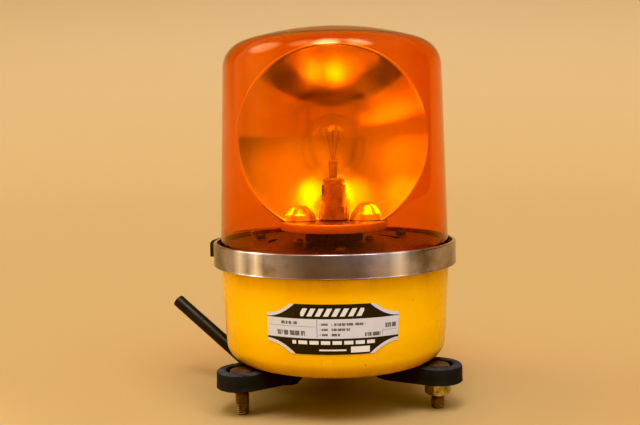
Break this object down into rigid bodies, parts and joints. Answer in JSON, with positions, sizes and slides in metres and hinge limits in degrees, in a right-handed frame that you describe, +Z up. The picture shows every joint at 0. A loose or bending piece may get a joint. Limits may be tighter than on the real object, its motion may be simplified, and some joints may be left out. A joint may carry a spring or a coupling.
{
  "type": "revolving warning light",
  "caption": "Amber revolving warning light: clear amber globe over a turning mirror and lamp, yellow metal housing, steel clamp band, rubber feet with studs.",
  "frame": {"origin": "on the plane of the three stud ends, under the middle of the light without its power lead", "axes": "+Z up along the light's axis, -Y to the front, where the nameplate is, +X to the light's right seen from the front"},
  "size_m": [0.1793, 0.1517, 0.2212],
  "materials": {
    "yellow_paint": "gloss enamel, scuffed at edges",
    "amber_lens": "clear amber moulded plastic",
    "stainless_steel": "brushed",
    "dark_steel": "dark plated, satin",
    "black_rubber": "moulded, greyed by wear",
    "label_film": "satin printed film",
    "zinc_plate": "yellow zinc plated",
    "rusty_steel": "rusted",
    "mirror_reflector": "bright metallised",
    "black_plastic": "satin",
    "bulb_glass": "clear",
    "brass": "bright",
    "tungsten": "dull",
    "lead_jacket": "smooth black jacket",
    "red_wire": "smooth",
    "seal_rubber": "matt"
  },
  "bodies": {
    "body": {"housing": "yellow_paint", "motor": "stainless_steel", "spindle": "dark_steel", "gearbox": "dark_steel", "chassis_plate": "dark_steel", "foot_left": "black_rubber", "foot_right": "black_rubber", "foot_rear": "black_rubber", "lead_elbow": "black_rubber", "nameplate": "label_film", "lampholder": "zinc_plate", "chassis_post_front": "zinc_plate", "chassis_post_right": "zinc_plate", "chassis_post_left": "zinc_plate", "chassis_screw_front": "zinc_plate", "chassis_screw_right": "zinc_plate", "chassis_screw_left": "zinc_plate", "spindle_screw_left": "zinc_plate", "spindle_screw_right": "zinc_plate", "foot_screw_left": "zinc_plate", "foot_screw_right": "zinc_plate", "foot_screw_rear": "zinc_plate", "foot_nut_right": "zinc_plate", "foot_nut_rear": "zinc_plate", "foot_bolt_left": "rusty_steel", "foot_bolt_right": "rusty_steel", "foot_bolt_rear": "rusty_steel", "foot_washer_left": "rusty_steel", "foot_washer_right": "rusty_steel", "foot_washer_rear": "rusty_steel", "terminal_block": "black_plastic", "wire_return": "black_plastic", "power_lead": "lead_jacket", "wire_live": "red_wire", "lamp_wire": "red_wire", "globe_seal": "seal_rubber"},
    "globe_unit": {"globe": "amber_lens", "clamp_band": "stainless_steel", "latch_hanger": "dark_steel", "latch_keeper": "stainless_steel"},
    "lever": {"latch_lever": "stainless_steel"},
    "bail": {"latch_bail": "stainless_steel"},
    "rotor": {"reflector": "mirror_reflector", "turntable": "zinc_plate", "drive_gear": "black_plastic", "reflector_bracket": "zinc_plate", "bracket_screw_left": "zinc_plate", "bracket_screw_right": "zinc_plate", "reflector_screw": "zinc_plate"},
    "pinion": {"motor_pinion": "brass"},
    "contact": {"contact_plate": "black_plastic", "contact_spring": "brass"},
    "lamp": {"bulb_glass": "bulb_glass", "bulb_cap": "brass", "bulb_stem": "bulb_glass", "bulb_filament": "tungsten"}
  },
  "joints": [
    {"name": "globe_lift", "type": "slide", "parent": "body", "child": "globe_unit", "axis": [0, 0, 1], "range_m": [0, 0.16]},
    {"name": "latch_lever_hinge", "type": "hinge", "parent": "globe_unit", "child": "lever", "pos_m": [-0.0708, 0.0259, 0.0895], "axis": [0, 0, 1], "range_deg": [0, 100]},
    {"name": "latch_bail_hinge", "type": "hinge", "parent": "lever", "child": "bail", "pos_m": [-0.06672, 0.03445, 0.0895], "axis": [0, 0, 1], "range_deg": [0, 25]},
    {"name": "reflector_spin", "type": "hinge", "parent": "body", "child": "rotor", "pos_m": [0.00115, -0.00317, 0.104], "axis": [0, 0, 1], "continuous": true},
    {"name": "pinion_spin", "type": "hinge", "parent": "body", "child": "pinion", "pos_m": [0.00115, 0.01843, 0.098], "axis": [0, 0, 1], "continuous": true},
    {"name": "contact_press", "type": "slide", "parent": "body", "child": "contact", "axis": [0, 0, 1], "range_m": [-0.001, 0], "stiffness_N_per_m": 600, "springref_m": 0.002},
    {"name": "bulb_twist", "type": "hinge", "parent": "contact", "child": "lamp", "pos_m": [0.00115, -0.00317, 0.122], "axis": [0, 0, 1], "range_deg": [0, 25]}
  ],
  "couplings": [
    {"joint": "pinion_spin", "follows": "reflector_spin", "ratio": -3.5}
  ]
}
